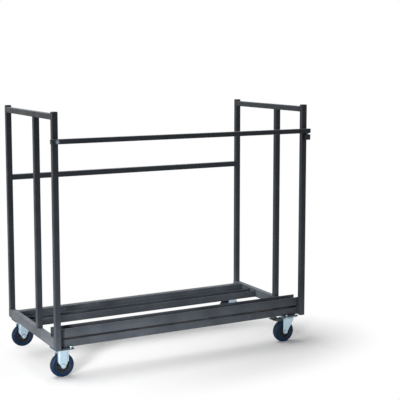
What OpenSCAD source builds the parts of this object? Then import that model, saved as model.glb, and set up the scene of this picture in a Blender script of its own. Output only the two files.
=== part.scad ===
// Trolley of welded square tube on two fixed and two braked swivel castors,
// with two channels for the feet of a stacked load and a swing-up locking bar.
// +X runs along the trolley to its swivel end, +Y to the back, +Z up, floor at zero.

/* [Frame] */
// Length over the corner posts
frame_l = 1520; // [1300:5:2000]
// Depth over the corner posts
frame_d = 765; // [700:5:1000]
// Height from the floor to the top of the post caps
frame_h = 1370; // [1000:5:1800]
// Side of the square posts and upper rails
post_w = 30; // [25:1:40]
// Wall of the frame tubes
tube_wall = 2; // [1.5:0.25:3]
// Outer corner radius of the frame tubes
tube_corner = 3; // [2:0.5:4]
// Height of the end tubes of the base
end_h = 50; // [44:1:70]
// Depth of the two long base rails, and height of the front one
rail_w = 40; // [30:1:44]
// Gap between the front posts and the front base rail
rail_gap = 2; // [0.5:0.5:10]
// Middle of the rear base rail, in front of the rear face of the frame
rear_rail_in = 85; // [50:1:140]
// Middle posts, behind the front posts
mid_post_back = 274; // [150:1:400]
// Drop from the cap tops to the top of the side top rails
top_drop = 11; // [6:1:60]
// Drop from the cap tops to the middle of the back rail
back_rail_drop = 407; // [200:1:600]

/* [Channels] */
// Outer width of both channels
channel_w = 70; // [50:1:110]
// Height of the raised front channel
front_channel_h = 48; // [30:1:70]
// Height of the low rear channel
rear_channel_h = 40; // [25:1:60]
// Sheet thickness of the channels
channel_t = 3; // [2:0.5:5]
// Outer bend radius of the channels
channel_bend = 4; // [3:0.5:8]
// Gap between the front posts and the front channel
front_channel_gap = 3; // [1:0.5:20]
// Gap between the rear channel and the rear base rail
rear_channel_gap = 95; // [40:1:150]
// Ends of the front channel, in from the outer faces of the frame
channel_end_in = 10; // [2:0.5:25]

/* [Locking bar] */
// Side of the square bar
bar_w = 25; // [20:1:35]
// Wall of the bar
bar_wall = 2; // [1.5:0.25:3]
// Drop from the cap tops to the middle of the bar
bar_drop = 148; // [90:1:180]
// Bar end past the left face of the frame
bar_left_over = 15; // [10:0.5:40]
// Bar end past the right face of the frame
bar_right_over = 9.5; // [9:0.5:40]
// Diameter of the pivot bolt
pivot_d = 10; // [8:1:12]
// Thickness of the pivot washers
washer_t = 2; // [1:0.25:3]
// Diameter of the drop pin
pin_d = 12; // [8:0.5:14]
// Middle of the drop pin, in from the right face of the frame
pin_in = 6; // [5:0.5:12]
// Thickness of the socket floor that the pin stands on
socket_floor = 3; // [2:0.5:6]
// Width of the socket tube
socket_w = 25; // [22:0.5:30]
// Wall of the socket tube
socket_wall = 2.5; // [1.5:0.25:3]
// Height of the socket tube
socket_h = 30; // [30:1:50]
// Gap between the bar and the socket
socket_gap = 7.5; // [3:0.5:20]

/* [Plastic inserts] */
// Thickness of a post cap above the post
cap_t = 4; // [2:0.5:8]
// Thickness of a tube plug outside the tube
plug_t = 3; // [2:0.5:6]
// Length of a cap or plug inside its tube
plug_l = 14; // [8:1:30]
// Thickness of a bar end cap outside the bar
bar_cap_t = 3; // [2:0.5:5]
// Length of a bar end cap inside the bar
bar_plug_l = 5; // [3:0.5:6]

/* [Castors] */
// Top of a castor plate above the tyre
castor_rise = 26; // [25:0.5:40]
// Diameter of the wheels
wheel_d = 125; // [110:1:150]
// Width of the tyres
tyre_w = 38; // [30:1:40]
// Shoulder radius of the tyres
tyre_round = 9; // [3:0.5:14]
// Diameter of the wheel core, under the tyre
core_d = 80; // [64:1:92]
// Radial thickness of the core's rim
rim_t = 6; // [3:0.5:8]
// Width of the core's rim
rim_w = 34; // [24:1:38]
// Thickness of the core's web
web_t = 9; // [5:0.5:16]
// Ribs on each face of the core
rib_count = 6; // [3:1:10]
// Thickness of a rib
rib_t = 4; // [2:0.5:6]
// Set-back of the ribs from the faces of the rim
rib_set = 2; // [1:0.5:6]
// Diameter of the hub
hub_d = 32; // [26:1:38]
// Length of the hub
hub_l = 46; // [40:1:48]
// Diameter of the axle bolts
axle_d = 12; // [8:1:12]
// Diameter of the axle sleeves
sleeve_d = 16; // [15:0.5:18]
// Inside width between the legs of a fork at the axle
fork_gap = 49; // [49:0.5:56]
// Sheet thickness of the forks
fork_t = 3; // [2:0.5:4]
// Height of the pressed step along a fixed fork's legs
fork_step = 3; // [1:0.5:3]
// Width of a fixed fork's legs
leg_w = 60; // [50:1:64]
// Width of the raised middle of a fixed fork's legs
leg_web_w = 40; // [36:1:44]
// Straight part of a fixed fork's legs, above the axle
leg_taper_up = 24; // [18:1:40]
// Radius of a fork's foot round the axle
foot_r = 14; // [12:0.5:18]
// Long side of the castor plates
plate_l = 100; // [95:1:120]
// Short side of the castor plates
plate_w = 85; // [78:1:100]
// Thickness of the castor plates
plate_t = 3; // [2:0.5:4]
// Corner radius of the castor plates
plate_corner = 8; // [2:0.5:12]
// Thickness of the mounting plates under the frame
mount_t = 5; // [4:0.5:10]
// Bolt pitch along the long side of the plates
bolt_pitch_l = 80; // [78:1:86]
// Bolt pitch along the short side of the plates
bolt_pitch_w = 60; // [56:1:68]
// Diameter of the castor bolts
bolt_d = 8; // [6:1:8]

/* [Swivels and brakes] */
// Swivel axis, in from the right face of the frame
swivel_in = 86; // [85:1:130]
// Trail of the wheel behind the swivel axis
trail = 28; // [26:1:45]
// Diameter of the kingpin
kingpin_d = 16; // [12:1:20]
// Diameter of the kingpin's lower head
kingpin_head_d = 26; // [24:1:32]
// Height of the kingpin's lower head
kingpin_head_h = 4; // [2:0.5:5]
// Height of the ball ring
ring_h = 7; // [7:0.5:10]
// Outer diameter of the ball ring
ring_d = 66; // [50:1:70]
// Thickness of the fork crown
crown_t = 3.5; // [3:0.5:5]
// Crown edge ahead of the swivel axis
crown_front = 27; // [26:1:36]
// Straight drop of a swivel fork's front edge, below the crown top
leg_shoulder = 14; // [8:1:30]
// Diameter of the pedal pin
pedal_pin_d = 5; // [5:0.5:7]
// Reach of the pedal tip from its pin
pedal_reach = 82; // [75:1:110]
// Width of the pedal's foot
pedal_w = 56; // [40:1:64]
// Width of the pedal's arm between the legs
pedal_arm_w = 38; // [30:1:42]
// Thickness of the pedal's foot at its tip
pedal_t = 4; // [4:0.5:7]
// Turn of the pedal from free to braked, in degrees
brake_angle = 10; // [4:1:12]

/* [Hidden] */
$fn = 48;

// Overrun of every cut past the face it opens
overrun = 1;
// Clearance between an insert and its tube
insert_gap = 0.2;
// Radial clearance of a bolt in its hole
bolt_gap = 0.25;
// Radial clearance of a turning fit
run_gap = 0.08;
// Gap left between the brake shoe and the tyre when braked
shoe_gap = 0.4;
// Bolt thread left standing past its nut
thread_end = 1.5;
// Gap between the pedal's hub and the crown above it
pedal_gap = 1;
// Gap between the pedal's foot and the plates that it passes as the castor turns
foot_gap = 3;

// Hexagon width, head height and nut height, as shares of a bolt's diameter
hex_w_share = 1.6;
head_h_share = 0.65;
nut_h_share = 0.8;
// Washer diameter as a share of the bolt diameter
washer_d_share = 2.2;
// Top face of a cap, and the full-size part of its edge, as shares of its width and thickness
cap_top_share = 0.9;
cap_edge_share = 0.6;
// Tip of the drop pin as shares of its diameter: length and end width
tip_l_share = 0.3;
tip_d_share = 0.6;
// Ball ring's bore as a share of its outside, and its groove's radius as a share of its height
ring_bore_share = 0.45;
groove_share = 0.3;
// Height of the pedal pin between the tyre and the crown, as a share of the room there
pedal_pin_share = 0.57;

// Places of the frame's faces and of its levels
left_x = -(frame_l + bar_right_over - bar_left_over) / 2;
right_x = left_x + frame_l;
front_stack = 2 * washer_t + bar_w + head_h_share * pivot_d;
front_y = -(frame_d + plug_t - front_stack) / 2;
rear_y = front_y + frame_d;
in_left = left_x + post_w;
in_right = right_x - post_w;
castor_h = wheel_d + castor_rise;
base_z = castor_h + mount_t;
end_top = base_z + end_h;
side_rail_top = frame_h - top_drop;

// Middle lines of the posts
post_x = [left_x + post_w / 2, right_x - post_w / 2];
post_y = [front_y + post_w / 2, front_y + post_w / 2 + mid_post_back, rear_y - post_w / 2];

// Castor rows under the front and rear base rails
castor_y = [front_y + post_w + rail_gap + rail_w / 2, rear_y - rear_rail_in];
// Heights of the two rails: the rear one is flush with the end tubes
rail_h = [rail_w, end_h];
fixed_x = left_x + plate_l / 2;
swivel_x = right_x - swivel_in;

// Locking bar
bar_y = front_y - washer_t - bar_w / 2;
bar_z = frame_h - bar_drop;
bar_ends = [left_x - bar_left_over + bar_cap_t, right_x + bar_right_over - bar_cap_t];
pin_x = right_x - pin_in;
socket_top = bar_z - bar_w / 2 - socket_gap;
socket_low = socket_top - socket_h;
pin_low = socket_low + socket_floor;

// Wheels and forks
wheel_r = wheel_d / 2;
fork_out = fork_gap / 2 + fork_t;
plate_z = castor_h - plate_t;
crown_top = plate_z - ring_h;
crown_low = crown_top - crown_t;
leg_back = trail + foot_r;
pedal_pin = [-trail, wheel_d + pedal_pin_share * (crown_low - wheel_d)];
pedal_hub_r = crown_low - pedal_pin[1] - pedal_gap;

// The pedal's foot starts outside the turning circle of the plates' corners, below the mounting plate
foot_start = norm([plate_l, plate_w]) / 2 + foot_gap - trail;
foot_l = pedal_reach - foot_start;
foot_top = castor_h - pedal_pin[1] - foot_gap;
arm_end = foot_start + pedal_t;
// Height of the arm's outer end above and below the pin, as shares of the hub radius
arm_top_share = 1.6;
arm_low_share = -0.2;
// Side outline of the pedal's arm from its pin: along as shares of the reach, up as shares of the hub radius
arm_shares = [[-0.46, arm_low_share], [-0.44, -3.4], [-0.14, -3.4], [-0.1, -0.9], [0, -1],
              [0, 1], [-0.2, 0.9], [-0.32, arm_top_share]];
// Underside of the foot at its start, as a share of the hub radius, and its tip, as a share of its height
foot_low_share = -2.2;
tip_share = 0.5;
// Tread ribs along the foot, as shares of its length, and their size, as a share of the tip's thickness
tread_shares = [0.16, 0.35, 0.54, 0.73];
tread_share = 0.5;

// Colours
coat = [0.17, 0.19, 0.22];
zinc = [0.76, 0.8, 0.83];
plastic = [0.07, 0.07, 0.08];
blue = [0.05, 0.2, 0.42];
pedal_grey = [0.16, 0.2, 0.19];

// Flat shapes

// Rectangle about the origin with round corners
module round_rect(w, h, r) {
  square([w - 2 * r, h], center = true);
  square([w, h - 2 * r], center = true);
  for (x = [-1, 1], y = [-1, 1])
    translate([x * (w / 2 - r), y * (h / 2 - r)]) circle(r);
}

// Section of a square or flat-sided tube
module tube_section(w, h, wall) {
  difference() {
    round_rect(w, h, tube_corner);
    square([w - 2 * wall, h - 2 * wall], center = true);
  }
}

// Section of a channel that is open at the top, its low left corner at the origin
module channel_section(h) {
  difference() {
    union() {
      translate([channel_bend, 0]) square([channel_w - 2 * channel_bend, h]);
      translate([0, channel_bend]) square([channel_w, h - channel_bend]);
      for (y = [channel_bend, channel_w - channel_bend])
        translate([y, channel_bend]) circle(channel_bend);
    }
    translate([channel_t, channel_t]) square([channel_w - 2 * channel_t, h]);
  }
}

// Solids along an axis

module along_x(from, to, y, z) {
  translate([from, y, z]) rotate([90, 0, 90]) linear_extrude(to - from) children();
}

module along_y(from, to, x, z) {
  translate([x, to, z]) rotate([90, 0, 0]) linear_extrude(to - from) children();
}

module along_z(from, to, x, y) {
  translate([x, y, from]) linear_extrude(to - from) children();
}

// Round bar or hole along Y
module rod_y(from, to, x, z, r) {
  along_y(from, to, x, z) circle(r);
}

// Fasteners, standing on the plane z = 0

module hexagon(d, h) {
  cylinder(h = h, d = hex_w_share * d / cos(30), $fn = 6);
}

// Head below the plane, shank above it
module hex_bolt(d, shank_l) {
  translate([0, 0, -head_h_share * d]) hexagon(d, head_h_share * d);
  cylinder(h = shank_l, d = d);
}

module hex_nut(d) {
  difference() {
    hexagon(d, nut_h_share * d);
    translate([0, 0, -overrun]) cylinder(h = nut_h_share * d + 2 * overrun, r = d / 2 + bolt_gap);
  }
}

// Frame

module corner_post(side, row, from) {
  color(coat) along_z(from, frame_h - cap_t, post_x[side], post_y[row])
    tube_section(post_w, post_w, tube_wall);
}

module pivot_post() {
  color(coat) difference() {
    corner_post(0, 0, base_z);
    rod_y(front_y - overrun, front_y + post_w + overrun, post_x[0], bar_z, pivot_d / 2 + bolt_gap);
  }
}

module middle_post(side) {
  color(coat) along_z(end_top, side_rail_top - post_w, post_x[side], post_y[1])
    tube_section(post_w, post_w, tube_wall);
}

module top_rail(side) {
  color(coat) along_y(front_y + post_w, rear_y - post_w, post_x[side], side_rail_top - post_w / 2)
    tube_section(post_w, post_w, tube_wall);
}

module end_tube(side) {
  color(coat) along_y(front_y + post_w, rear_y, post_x[side], base_z + end_h / 2)
    tube_section(post_w, end_h, tube_wall);
}

module base_rail(row) {
  color(coat) along_x(in_left, in_right, castor_y[row], base_z + rail_h[row] / 2)
    tube_section(rail_w, rail_h[row], tube_wall);
}

module back_rail() {
  color(coat) along_x(in_left, in_right, post_y[2], frame_h - back_rail_drop)
    tube_section(post_w, post_w, tube_wall);
}

module front_channel() {
  color(coat)
    along_x(left_x + channel_end_in, right_x - channel_end_in, front_y + post_w + front_channel_gap, end_top)
      channel_section(front_channel_h);
}

module rear_channel() {
  color(coat)
    along_x(in_left, in_right, castor_y[1] - rail_w / 2 - rear_channel_gap - channel_w, base_z)
      channel_section(rear_channel_h);
}

// Places of a castor's bolts from its middle: long pitch along X on a fixed castor, along Y on a swivel one
function bolt_places(fixed) = [for (a = [-1, 1], b = [-1, 1])
  fixed ? [a * bolt_pitch_l / 2, b * bolt_pitch_w / 2] : [a * bolt_pitch_w / 2, b * bolt_pitch_l / 2]];

module bolt_holes(fixed, from, to) {
  for (p = bolt_places(fixed))
    translate([p[0], p[1], from - overrun]) cylinder(h = to - from + 2 * overrun, r = bolt_d / 2 + bolt_gap);
}

module at_castor(fixed, row) {
  translate([fixed ? fixed_x : swivel_x, castor_y[row], 0]) children();
}

// The front left plate also reaches under its post
module castor_mount_plates() {
  color(coat) for (fixed = [true, false], row = [0, 1]) {
    size = fixed ? [plate_l, plate_w] : [plate_w, plate_l];
    reach = (fixed && row == 0) ? castor_y[0] - front_y : size[1] / 2;
    at_castor(fixed, row) difference() {
      translate([-size[0] / 2, -reach, castor_h]) cube([size[0], reach + size[1] / 2, mount_t]);
      bolt_holes(fixed, castor_h, base_z);
    }
  }
}

// Insert with its stem along -Z and its cap above the plane z = 0
module tube_insert(w, h, wall, cap, stem) {
  linear_extrude(cap_edge_share * cap) round_rect(w, h, tube_corner);
  linear_extrude(cap) round_rect(cap_top_share * w, cap_top_share * h, tube_corner);
  translate([0, 0, -stem]) linear_extrude(stem)
    square([w - 2 * wall - 2 * insert_gap, h - 2 * wall - 2 * insert_gap], center = true);
}

module post_caps() {
  color(plastic) for (x = post_x, y = [post_y[0], post_y[2]])
    translate([x, y, frame_h - cap_t]) tube_insert(post_w, post_w, tube_wall, cap_t, plug_l);
}

// Foot of the right front post and rear ends of the end tubes
module tube_plugs() {
  color(plastic) {
    translate([post_x[1], post_y[0], base_z]) rotate([180, 0, 0])
      tube_insert(post_w, post_w, tube_wall, plug_t, plug_l);
    for (x = post_x)
      translate([x, rear_y, base_z + end_h / 2]) rotate([-90, 0, 0])
        tube_insert(post_w, end_h, tube_wall, plug_t, plug_l);
  }
}

// Locking bar

module locking_bar() {
  color(coat) difference() {
    along_x(bar_ends[0], bar_ends[1], bar_y, bar_z) tube_section(bar_w, bar_w, bar_wall);
    rod_y(bar_y - bar_w, bar_y + bar_w, post_x[0], bar_z, pivot_d / 2 + run_gap);
    translate([pin_x, bar_y, bar_z - bar_w]) cylinder(h = bar_w, r = pin_d / 2 + insert_gap);
  }
}

module bar_end_caps() {
  color(plastic) for (end = [0, 1])
    translate([bar_ends[end], bar_y, bar_z]) rotate([0, end == 0 ? -90 : 90, 0])
      tube_insert(bar_w, bar_w, bar_wall, bar_cap_t, bar_plug_l);
}

// The pin stands under the bar's upper wall
module bar_drop_pin() {
  tip_l = tip_l_share * pin_d;
  color(zinc) translate([pin_x, bar_y, pin_low]) {
    cylinder(h = tip_l, d1 = tip_d_share * pin_d, d2 = pin_d);
    translate([0, 0, tip_l]) cylinder(h = bar_z + bar_w / 2 - bar_wall - pin_low - tip_l, d = pin_d);
  }
}

module bar_socket() {
  depth = 2 * (front_y - bar_y);
  color(coat) {
    along_z(socket_low, socket_top, pin_x, bar_y) tube_section(socket_w, depth, socket_wall);
    along_z(socket_low, pin_low, pin_x, bar_y)
      square([socket_w - socket_wall, depth - socket_wall], center = true);
  }
}

module pivot_bolt() {
  nut_end = washer_t + nut_h_share * pivot_d + thread_end;
  color(zinc) translate([post_x[0], front_y - 2 * washer_t - bar_w, bar_z]) rotate([-90, 0, 0])
    hex_bolt(pivot_d, 2 * washer_t + bar_w + post_w + nut_end);
}

module pivot_washers() {
  color(zinc) for (y = [bar_y - bar_w / 2 - washer_t, front_y - washer_t, front_y + post_w])
    difference() {
      rod_y(y, y + washer_t, post_x[0], bar_z, washer_d_share * pivot_d / 2);
      rod_y(y - overrun, y + washer_t + overrun, post_x[0], bar_z, pivot_d / 2 + bolt_gap);
    }
}

module pivot_nut() {
  color(zinc) translate([post_x[0], front_y + post_w + washer_t, bar_z]) rotate([-90, 0, 0])
    hex_nut(pivot_d);
}

// Castor fasteners: the bolts under an end tube end in the mounting plate, the others have a nut

function has_nut(fixed, place) = !fixed || place[0] > 0;

module castor_bolts() {
  grip = plate_t + mount_t;
  color(zinc) for (fixed = [true, false], row = [0, 1], p = bolt_places(fixed))
    at_castor(fixed, row) translate([p[0], p[1], plate_z])
      hex_bolt(bolt_d, has_nut(fixed, p) ? grip + nut_h_share * bolt_d + thread_end : grip);
}

module castor_nuts() {
  color(zinc) for (fixed = [true, false], row = [0, 1], p = bolt_places(fixed))
    if (has_nut(fixed, p)) at_castor(fixed, row) translate([p[0], p[1], base_z]) hex_nut(bolt_d);
}

module axle_bolt() {
  color(zinc) translate([0, -fork_out, wheel_r]) rotate([-90, 0, 0])
    hex_bolt(axle_d, 2 * fork_out + nut_h_share * axle_d + thread_end);
}

module axle_nut() {
  color(zinc) translate([0, fork_out, wheel_r]) rotate([-90, 0, 0]) hex_nut(axle_d);
}

module axle_sleeve() {
  color(zinc) difference() {
    rod_y(-fork_gap / 2, fork_gap / 2, 0, wheel_r, sleeve_d / 2);
    rod_y(-fork_gap / 2 - overrun, fork_gap / 2 + overrun, 0, wheel_r, axle_d / 2 + bolt_gap);
  }
}

// Wheels

module wheel_core() {
  core_r = core_d / 2;
  hub_r = hub_d / 2;
  rib_start = (hub_r + sleeve_d / 2) / 2;
  color(plastic) translate([0, 0, wheel_r]) rotate([90, 0, 0]) {
    rotate_extrude() {
      bore_r = sleeve_d / 2 + run_gap;
      translate([bore_r, -hub_l / 2]) square([hub_r - bore_r, hub_l]);
      translate([hub_r, -web_t / 2]) square([core_r - hub_r, web_t]);
      translate([core_r - rim_t, -rim_w / 2]) square([rim_t, rim_w]);
    }
    for (i = [0 : rib_count - 1]) rotate([0, 0, i * 360 / rib_count])
      translate([rib_start, -rib_t / 2, rib_set - rim_w / 2])
        cube([core_r - rim_t / 2 - rib_start, rib_t, rim_w - 2 * rib_set]);
  }
}

module tyre() {
  shoulder_r = wheel_r - tyre_round;
  color(blue) translate([0, 0, wheel_r]) rotate([90, 0, 0]) rotate_extrude($fn = 96) {
    translate([core_d / 2, -tyre_w / 2]) square([shoulder_r - core_d / 2, tyre_w]);
    translate([core_d / 2, tyre_round - tyre_w / 2]) square([wheel_r - core_d / 2, tyre_w - 2 * tyre_round]);
    for (side = [-1, 1]) translate([shoulder_r, side * (tyre_w / 2 - tyre_round)]) circle(tyre_round);
  }
}

// Fixed fork: plate and two stepped legs

module fixed_leg_plan() {
  low = fork_gap / 2 - fork_step;
  high = fork_gap / 2;
  web = leg_web_w / 2;
  line = [[-leg_w / 2, low], [-web - fork_step, low], [-web, high], [web, high],
          [web + fork_step, low], [leg_w / 2, low]];
  outer = [for (i = [len(line) - 1 : -1 : 0]) line[i] + [0, fork_t]];
  polygon(concat(line, outer));
}

module fixed_leg_side() {
  polygon([[-leg_w / 2, plate_z], [leg_w / 2, plate_z], [leg_w / 2, wheel_r + leg_taper_up],
           [foot_r, wheel_r], [-foot_r, wheel_r], [-leg_w / 2, wheel_r + leg_taper_up]]);
  translate([0, wheel_r]) circle(foot_r);
}

module fixed_fork() {
  color(zinc) difference() {
    union() {
      along_z(plate_z, castor_h, 0, 0) round_rect(plate_l, plate_w, plate_corner);
      intersection() {
        along_z(0, plate_z, 0, 0) for (side = [0, 1]) mirror([0, side]) fixed_leg_plan();
        along_y(-plate_w, plate_w, 0, 0) fixed_leg_side();
      }
    }
    rod_y(-plate_w, plate_w, 0, wheel_r, axle_d / 2 + bolt_gap);
    bolt_holes(true, plate_z, castor_h);
  }
}

// Swivel castor about its swivel axis, the wheel trailing along -X

module swivel_plate() {
  color(zinc) difference() {
    along_z(plate_z, castor_h, 0, 0) round_rect(plate_w, plate_l, plate_corner);
    bolt_holes(false, plate_z, castor_h);
    along_z(plate_z - overrun, castor_h + overrun, 0, 0) circle(kingpin_d / 2 + bolt_gap);
  }
}

module ball_ring() {
  groove = groove_share * ring_h;
  color(zinc) translate([0, 0, crown_top]) rotate_extrude() difference() {
    translate([ring_bore_share * ring_d / 2, 0]) square([(1 - ring_bore_share) * ring_d / 2, ring_h]);
    translate([ring_d / 2, ring_h / 2]) circle(groove);
  }
}

// The head under the crown carries the fork
module kingpin() {
  color(zinc) {
    along_z(crown_low, castor_h, 0, 0) circle(kingpin_d / 2);
    along_z(crown_low - kingpin_head_h, crown_low, 0, 0) circle(kingpin_head_d / 2);
  }
}

module swivel_leg_side() {
  polygon([[-leg_back, wheel_r], [-leg_back, crown_top], [crown_front, crown_top],
           [crown_front, crown_top - leg_shoulder], [foot_r - trail, wheel_r]]);
  translate([-trail, wheel_r]) circle(foot_r);
}

module swivel_fork() {
  color(zinc) difference() {
    union() {
      along_y(-fork_out, -fork_gap / 2, 0, 0) swivel_leg_side();
      along_y(fork_gap / 2, fork_out, 0, 0) swivel_leg_side();
      translate([-leg_back, -fork_out, crown_low]) cube([leg_back + crown_front, 2 * fork_out, crown_t]);
    }
    rod_y(-plate_w, plate_w, -trail, wheel_r, axle_d / 2 + bolt_gap);
    rod_y(-plate_w, plate_w, pedal_pin[0], pedal_pin[1], pedal_pin_d / 2 + bolt_gap);
    along_z(crown_low - overrun, crown_top + overrun, 0, 0) circle(kingpin_d / 2 + run_gap);
  }
}

module pedal_pin() {
  half_l = fork_out + thread_end;
  color(zinc) rod_y(-half_l, half_l, pedal_pin[0], pedal_pin[1], pedal_pin_d / 2);
}

// Arm with its shoe, hollowed to the tyre's curve at the braked angle, and a ribbed wedge for the foot
module brake_pedal() {
  inner = [for (p = arm_shares) [p[0] * pedal_reach, p[1] * pedal_hub_r]];
  outer = [[-arm_end, arm_top_share * pedal_hub_r], [-arm_end, arm_low_share * pedal_hub_r]];
  tip = tip_share * foot_top;
  tread = tread_share * pedal_t;
  color(pedal_grey) translate([pedal_pin[0], 0, pedal_pin[1]]) difference() {
    union() {
      along_y(-pedal_arm_w / 2, pedal_arm_w / 2, 0, 0) {
        polygon(concat(inner, outer));
        circle(pedal_hub_r);
      }
      along_y(-pedal_w / 2, pedal_w / 2, 0, 0)
        polygon([[-foot_start, foot_top], [-pedal_reach, tip], [-pedal_reach, tip - pedal_t],
                 [-foot_start, foot_low_share * pedal_hub_r]]);
      for (s = tread_shares)
        translate([-foot_start - s * foot_l, -pedal_w / 2, foot_top - s * (foot_top - tip) - tread / 2])
          cube([tread, pedal_w, tread]);
    }
    rod_y(-pedal_w, pedal_w, 0, 0, pedal_pin_d / 2 + run_gap);
    rotate([0, brake_angle, 0]) translate([0, 0, wheel_r - pedal_pin[1]])
      rod_y(-pedal_w, pedal_w, 0, 0, wheel_r + shoe_gap);
  }
}

module on_axle() {
  translate([-trail, 0, 0]) children();
}

pivot_post();  // left_front_post
middle_post(0);  // left_middle_post
corner_post(0, 2, end_top);  // left_rear_post
corner_post(1, 0, base_z);  // right_front_post
middle_post(1);  // right_middle_post
corner_post(1, 2, end_top);  // right_rear_post
top_rail(0);  // left_top_rail
top_rail(1);  // right_top_rail
end_tube(0);  // left_end_tube
end_tube(1);  // right_end_tube
base_rail(0);  // front_base_rail
base_rail(1);  // rear_base_rail
back_rail();
front_channel();
rear_channel();
castor_mount_plates();
post_caps();
tube_plugs();
locking_bar();
bar_end_caps();
bar_drop_pin();
bar_socket();
pivot_bolt();
pivot_washers();
pivot_nut();
castor_bolts();
castor_nuts();
for (row = [0, 1]) at_castor(true, row) axle_bolt();  // fixed_axle_bolts
for (row = [0, 1]) at_castor(true, row) axle_nut();  // fixed_axle_nuts
// The two castor rows, front then rear
for (row = [0, 1]) {
  left = ["left_front", "left_rear"][row];
  at_castor(true, row) fixed_fork();
  at_castor(true, row) axle_sleeve();
  at_castor(true, row) wheel_core();
  at_castor(true, row) tyre();
  right = ["right_front", "right_rear"][row];
  at_castor(false, row) swivel_plate();
  at_castor(false, row) ball_ring();
  at_castor(false, row) kingpin();
  at_castor(false, row) swivel_fork();
  at_castor(false, row) on_axle() axle_sleeve();
  at_castor(false, row) on_axle() axle_bolt();
  at_castor(false, row) on_axle() axle_nut();
  at_castor(false, row) on_axle() wheel_core();
  at_castor(false, row) on_axle() tyre();
  at_castor(false, row) brake_pedal();
  at_castor(false, row) pedal_pin();
}
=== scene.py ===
import math

import bmesh
import bpy
import numpy as np
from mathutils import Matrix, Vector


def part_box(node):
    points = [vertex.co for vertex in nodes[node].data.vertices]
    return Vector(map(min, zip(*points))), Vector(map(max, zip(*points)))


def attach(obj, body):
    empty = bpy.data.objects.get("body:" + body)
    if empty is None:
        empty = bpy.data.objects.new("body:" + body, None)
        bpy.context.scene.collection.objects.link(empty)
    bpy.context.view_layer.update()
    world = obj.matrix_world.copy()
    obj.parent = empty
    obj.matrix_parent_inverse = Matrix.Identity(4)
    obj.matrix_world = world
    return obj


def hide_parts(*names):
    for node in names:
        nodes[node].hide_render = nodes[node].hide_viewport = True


# Looks of a load trolley of coated square tube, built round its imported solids.
# Lengths are in metres, in the frame of the solids.

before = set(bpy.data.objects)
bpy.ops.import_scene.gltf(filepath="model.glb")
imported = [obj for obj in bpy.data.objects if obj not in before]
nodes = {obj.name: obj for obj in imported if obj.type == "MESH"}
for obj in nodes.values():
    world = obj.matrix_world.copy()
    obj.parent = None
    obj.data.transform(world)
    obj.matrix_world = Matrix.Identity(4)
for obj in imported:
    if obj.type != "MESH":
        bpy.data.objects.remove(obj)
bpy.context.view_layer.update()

MM = 0.001
SIDES, ROWS = ("left", "right"), ("front", "rear")
# Points nearer than this are one point
MERGE = 1e-6
# Most of an edge that one eased corner may take
EASE_SHARE = 0.45


def box_of(node):
    """Lowest and highest corner of a solid, as arrays."""
    low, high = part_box(node)
    return np.array(low), np.array(high)


def half_box(node):
    """Middle of a solid's box, and half its sizes."""
    low, high = box_of(node)
    return (low + high) / 2, (high - low) / 2


# Surfaces worked out on grids

def grid_faces(rows, cols, wrap_rows, wrap_cols):
    """Quads of a grid of rows x cols points, joined round where an edge wraps."""
    r = np.arange(rows if wrap_rows else rows - 1)[:, None]
    c = np.arange(cols if wrap_cols else cols - 1)[None, :]
    r2, c2 = (r + 1) % rows, (c + 1) % cols
    corners = [r * cols + c, r2 * cols + c, r2 * cols + c2, r * cols + c2]
    return np.stack([np.broadcast_to(k, (r.size, c.size)) for k in corners], -1).reshape(-1, 4)


def add_piece(name, grids, material, body, replaces=(), sharp_deg=35.0, along=None):
    """One piece from several point grids.

    grids holds (points, wrap_rows, wrap_cols), points being rows x columns x 3. Points that
    fall together, as at a pole or a seam, are merged, and the faces are turned outwards.
    along is a value for each point, kept as the attribute 'place' for the material.
    """
    verts, faces, start = [], [], 0
    for points, wrap_rows, wrap_cols in grids:
        rows, cols = points.shape[:2]
        verts.append(points.reshape(-1, 3))
        faces.append(grid_faces(rows, cols, wrap_rows, wrap_cols) + start)
        start += rows * cols
    mesh = bpy.data.meshes.new(name)
    mesh.from_pydata(np.concatenate(verts), [], np.concatenate(faces))
    if along is not None:
        layer = mesh.attributes.new("place", "FLOAT", "POINT")
        layer.data.foreach_set("value", np.concatenate([a.ravel() for a in along]).astype(np.float32))
    work = bmesh.new()
    work.from_mesh(mesh)
    bmesh.ops.remove_doubles(work, verts=work.verts, dist=MERGE)
    bmesh.ops.dissolve_degenerate(work, edges=work.edges, dist=MERGE)
    bmesh.ops.recalc_face_normals(work, faces=work.faces)
    work.to_mesh(mesh)
    work.free()
    mesh.shade_smooth()
    mesh.set_sharp_from_angle(angle=math.radians(sharp_deg))
    mesh.materials.append(material)
    piece = bpy.data.objects.new(name, mesh)
    bpy.context.scene.collection.objects.link(piece)
    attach(piece, body)
    if replaces:
        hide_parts(*replaces)


def turned(profile, centre, segments, axis="y"):
    """Surface of revolution about the Y or Z line through centre.

    profile is rows of (radius, along); point (i, a) is centre + r_i cos a and r_i sin a across the axis.
    """
    a = np.linspace(0, 2 * np.pi, segments, endpoint=False)
    r, along = profile[:, :1], np.broadcast_to(profile[:, 1:], (len(profile), segments))
    parts = [r * np.cos(a), along, r * np.sin(a)] if axis == "y" else [r * np.cos(a), r * np.sin(a), along]
    return np.stack(parts, -1) + centre


def eased(points, radius, steps=5):
    """Closed outline with each corner replaced by a quadratic arc that starts radius before it."""
    before, after = np.roll(points, 1, 0) - points, np.roll(points, -1, 0) - points
    reach_before, reach_after = [np.linalg.norm(d, axis=1)[:, None] for d in (before, after)]
    start = points + before / reach_before * np.minimum(radius, EASE_SHARE * reach_before)
    end = points + after / reach_after * np.minimum(radius, EASE_SHARE * reach_after)
    t = np.linspace(0, 1, steps)[None, :, None]
    arcs = (1 - t) ** 2 * start[:, None] + 2 * t * (1 - t) * points[:, None] + t ** 2 * end[:, None]
    return arcs.reshape(-1, points.shape[1])


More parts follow.
